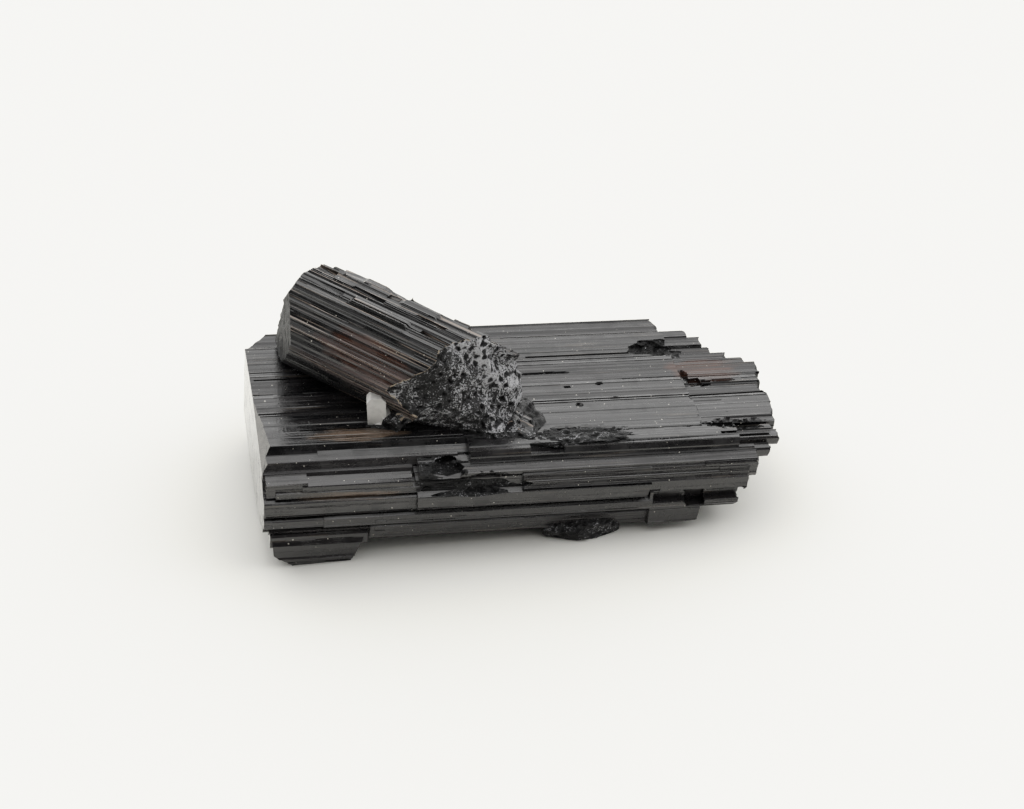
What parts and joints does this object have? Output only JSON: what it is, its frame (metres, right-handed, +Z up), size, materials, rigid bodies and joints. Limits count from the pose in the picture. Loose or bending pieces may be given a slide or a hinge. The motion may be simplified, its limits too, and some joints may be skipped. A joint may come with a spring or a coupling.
{
  "type": "black tourmaline crystal specimen",
  "caption": "Natural black tourmaline specimen: a striated slab-like crystal with a hexagonal crystal leaning across it, broken off in a rough pitted face.",
  "frame": {"origin": "middle of the footprint, on the surface that the specimen rests on", "axes": "+X along the main crystal's length towards its stepped end, +Y towards its back edge, +Z up"},
  "size_m": [0.0602, 0.0288, 0.0256],
  "materials": {
    "black_tourmaline": "glossy"
  },
  "bodies": {
    "root": {"tourmaline_crystal": "black_tourmaline"}
  },
  "joints": []
}
